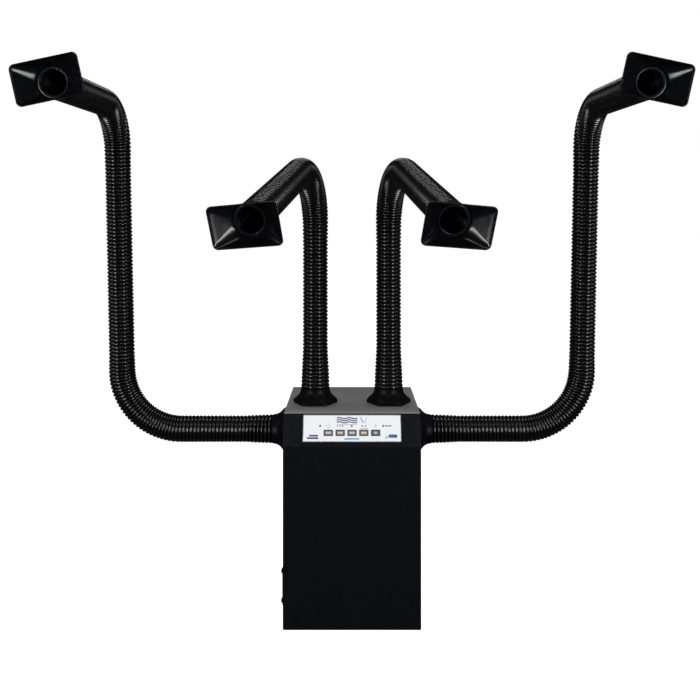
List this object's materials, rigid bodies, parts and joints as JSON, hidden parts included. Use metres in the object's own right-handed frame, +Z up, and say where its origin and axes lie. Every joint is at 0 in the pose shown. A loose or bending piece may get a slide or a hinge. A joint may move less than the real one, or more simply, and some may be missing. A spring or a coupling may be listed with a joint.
{
  "type": "solder fume extractor",
  "caption": "Floor-standing filter cabinet with a sloping key panel and four self-supporting corrugated hose arms that end in rectangular fume hoods.",
  "frame": {"origin": "centre of the cabinet's footprint, on the surface that it stands on", "axes": "+X to the right as seen from the front, -Y out of the cabinet's front, +Z up"},
  "size_m": [1.256, 0.7077, 1.2064],
  "materials": {
    "cabinet_black": "fine satin black powder coat",
    "top_black": "satin black powder coat that mirrors a pale room",
    "panel_black": "satin blue-black powder coat",
    "label_white": "printed polyester label, faintly blue",
    "key_taupe": "embossed membrane key",
    "key_blue": "embossed membrane key",
    "lamp_dark": "dark indicator lens",
    "board_green": "solder mask",
    "hose_black": "glossy corrugated polyethylene",
    "moulded_black": "glossy moulded plastic",
    "zinc_steel": "zinc plated sheet",
    "screw_black": "black oxide",
    "motor_alloy": "cast",
    "impeller_plastic": "moulded",
    "filter_white": "pleated fibre in a card frame",
    "filter_carbon": "activated carbon mat"
  },
  "bodies": {
    "cabinet": {"base_pan": "cabinet_black", "body_wrap": "cabinet_black", "top_plate": "top_black", "back_panel": "cabinet_black", "back_screws": "screw_black", "control_fascia": "panel_black", "keypad_label": "label_white", "status_leds": "lamp_dark", "control_board": "board_green", "door_hinge": "screw_black", "exhaust_grille": "cabinet_black", "grille_screws": "screw_black", "plenum_plate": "zinc_steel", "prefilter": "filter_white", "hepa_filter": "filter_white", "carbon_filter": "filter_carbon", "blower_housing": "zinc_steel", "blower_motor": "motor_alloy", "power_inlet": "moulded_black", "port_collars": "moulded_black"},
    "mode_key": {"mode_key": "key_taupe"},
    "speed_key": {"speed_key": "key_taupe"},
    "timer_key": {"timer_key": "key_taupe"},
    "filter_key": {"filter_key": "key_taupe"},
    "power_key": {"power_key": "key_blue"},
    "filter_door": {"filter_door": "cabinet_black"},
    "door_latch": {"door_latch": "moulded_black"},
    "impeller": {"impeller": "impeller_plastic"},
    "top_left_riser": {"top_left_cuff": "moulded_black", "top_left_riser": "hose_black", "top_left_elbow": "hose_black"},
    "top_left_upper": {"top_left_upper": "hose_black", "top_left_wrist": "hose_black"},
    "top_left_hood_cuff": {"top_left_hood_cuff": "moulded_black"},
    "top_left_hood": {"top_left_hood": "moulded_black"},
    "top_right_riser": {"top_right_cuff": "moulded_black", "top_right_riser": "hose_black", "top_right_elbow": "hose_black"},
    "top_right_upper": {"top_right_upper": "hose_black", "top_right_wrist": "hose_black"},
    "top_right_hood_cuff": {"top_right_hood_cuff": "moulded_black"},
    "top_right_hood": {"top_right_hood": "moulded_black"},
    "side_left_run": {"side_left_cuff": "moulded_black", "side_left_run": "hose_black", "side_left_bend": "hose_black"},
    "side_left_riser": {"side_left_riser": "hose_black", "side_left_elbow": "hose_black"},
    "side_left_upper": {"side_left_upper": "hose_black", "side_left_wrist": "hose_black"},
    "side_left_hood_cuff": {"side_left_hood_cuff": "moulded_black"},
    "side_left_hood": {"side_left_hood": "moulded_black"},
    "side_right_run": {"side_right_cuff": "moulded_black", "side_right_run": "hose_black", "side_right_bend": "hose_black"},
    "side_right_riser": {"side_right_riser": "hose_black", "side_right_elbow": "hose_black"},
    "side_right_upper": {"side_right_upper": "hose_black", "side_right_wrist": "hose_black"},
    "side_right_hood_cuff": {"side_right_hood_cuff": "moulded_black"},
    "side_right_hood": {"side_right_hood": "moulded_black"}
  },
  "joints": [
    {"name": "top_left_swivel", "type": "hinge", "parent": "cabinet", "child": "top_left_riser", "pos_m": [-0.087, -0.015, 0.47], "axis": [0, 0, 1], "range_deg": [-55, 10]},
    {"name": "top_left_elbow_bend", "type": "hinge", "parent": "top_left_riser", "child": "top_left_upper", "pos_m": [-0.09823, -0.07329, 0.97144], "axis": [-0.982, 0.1891, 0], "range_deg": [-25, 25], "deforming": ["top_left_elbow"]},
    {"name": "top_left_wrist_tilt", "type": "hinge", "parent": "top_left_upper", "child": "top_left_hood_cuff", "pos_m": [-0.169, -0.44082, 0.91294], "axis": [-0.982, 0.1891, 0], "range_deg": [-30, 30], "deforming": ["top_left_wrist"]},
    {"name": "top_left_hood_turn", "type": "hinge", "parent": "top_left_hood_cuff", "child": "top_left_hood", "pos_m": [-0.17805, -0.48782, 0.89748], "axis": [-0.1799, -0.9344, -0.3074], "range_deg": [-90, 90]},
    {"name": "top_right_swivel", "type": "hinge", "parent": "cabinet", "child": "top_right_riser", "pos_m": [0.087, -0.015, 0.47], "axis": [0, 0, -1], "range_deg": [-55, 10]},
    {"name": "top_right_elbow_bend", "type": "hinge", "parent": "top_right_riser", "child": "top_right_upper", "pos_m": [0.09823, -0.07329, 0.97144], "axis": [-0.982, -0.1891, 0], "range_deg": [-25, 25], "deforming": ["top_right_elbow"]},
    {"name": "top_right_wrist_tilt", "type": "hinge", "parent": "top_right_upper", "child": "top_right_hood_cuff", "pos_m": [0.169, -0.44082, 0.91294], "axis": [-0.982, -0.1891, 0], "range_deg": [-30, 30], "deforming": ["top_right_wrist"]},
    {"name": "top_right_hood_turn", "type": "hinge", "parent": "top_right_hood_cuff", "child": "top_right_hood", "pos_m": [0.17805, -0.48782, 0.89748], "axis": [-0.1799, 0.9344, 0.3074], "range_deg": [-90, 90]},
    {"name": "side_left_swivel", "type": "hinge", "parent": "cabinet", "child": "side_left_run", "pos_m": [-0.1525, -0.015, 0.406], "axis": [1, 0, 0], "range_deg": [-20, 20]},
    {"name": "side_left_bend", "type": "hinge", "parent": "side_left_run", "child": "side_left_riser", "pos_m": [-0.49365, -0.015, 0.4564], "axis": [0, 1, 0], "range_deg": [-20, 20], "deforming": ["side_left_bend"]},
    {"name": "side_left_elbow_bend", "type": "hinge", "parent": "side_left_riser", "child": "side_left_upper", "pos_m": [-0.55823, -0.05193, 1.13183], "axis": [-1, 0, 0], "range_deg": [-25, 25], "deforming": ["side_left_elbow"]},
    {"name": "side_left_wrist_tilt", "type": "hinge", "parent": "side_left_upper", "child": "side_left_hood_cuff", "pos_m": [-0.559, -0.34352, 1.1591], "axis": [-1, 0, 0], "range_deg": [-30, 30], "deforming": ["side_left_wrist"]},
    {"name": "side_left_hood_turn", "type": "hinge", "parent": "side_left_hood_cuff", "child": "side_left_hood", "pos_m": [-0.559, -0.39379, 1.15743], "axis": [0, -0.9995, -0.0332], "range_deg": [-90, 90]},
    {"name": "side_right_swivel", "type": "hinge", "parent": "cabinet", "child": "side_right_run", "pos_m": [0.1525, -0.015, 0.406], "axis": [1, 0, 0], "range_deg": [-20, 20]},
    {"name": "side_right_bend", "type": "hinge", "parent": "side_right_run", "child": "side_right_riser", "pos_m": [0.49365, -0.015, 0.4564], "axis": [0, -1, 0], "range_deg": [-20, 20], "deforming": ["side_right_bend"]},
    {"name": "side_right_elbow_bend", "type": "hinge", "parent": "side_right_riser", "child": "side_right_upper", "pos_m": [0.55823, -0.05193, 1.13183], "axis": [-1, 0, 0], "range_deg": [-25, 25], "deforming": ["side_right_elbow"]},
    {"name": "side_right_wrist_tilt", "type": "hinge", "parent": "side_right_upper", "child": "side_right_hood_cuff", "pos_m": [0.559, -0.34352, 1.1591], "axis": [-1, 0, 0], "range_deg": [-30, 30], "deforming": ["side_right_wrist"]},
    {"name": "side_right_hood_turn", "type": "hinge", "parent": "side_right_hood_cuff", "child": "side_right_hood", "pos_m": [0.559, -0.39379, 1.15743], "axis": [0, 0.9995, 0.0332], "range_deg": [-90, 90]},
    {"name": "mode_key_press", "type": "slide", "parent": "cabinet", "child": "mode_key", "axis": [0, 0.9099, -0.4148], "range_m": [0, 0.0005], "stiffness_N_per_m": 1200, "springref_m": -0.0005},
    {"name": "speed_key_press", "type": "slide", "parent": "cabinet", "child": "speed_key", "axis": [0, 0.9099, -0.4148], "range_m": [0, 0.0005], "stiffness_N_per_m": 1200, "springref_m": -0.0005},
    {"name": "timer_key_press", "type": "slide", "parent": "cabinet", "child": "timer_key", "axis": [0, 0.9099, -0.4148], "range_m": [0, 0.0005], "stiffness_N_per_m": 1200, "springref_m": -0.0005},
    {"name": "filter_key_press", "type": "slide", "parent": "cabinet", "child": "filter_key", "axis": [0, 0.9099, -0.4148], "range_m": [0, 0.0005], "stiffness_N_per_m": 1200, "springref_m": -0.0005},
    {"name": "power_key_press", "type": "slide", "parent": "cabinet", "child": "power_key", "axis": [0, 0.9099, -0.4148], "range_m": [0, 0.0005], "stiffness_N_per_m": 1200, "springref_m": -0.0005},
    {"name": "filter_door_hinge", "type": "hinge", "parent": "cabinet", "child": "filter_door", "pos_m": [-0.145, 0.1545, 0.24], "axis": [0, 0, 1], "range_deg": [0, 110]},
    {"name": "door_latch_turn", "type": "hinge", "parent": "filter_door", "child": "door_latch", "pos_m": [0.12, 0.151, 0.24], "axis": [0, 1, 0], "range_deg": [0, 90]},
    {"name": "impeller_spin", "type": "hinge", "parent": "cabinet", "child": "impeller", "pos_m": [0.03, 0.015, 0.06], "axis": [0, 0, 1], "continuous": true}
  ]
}
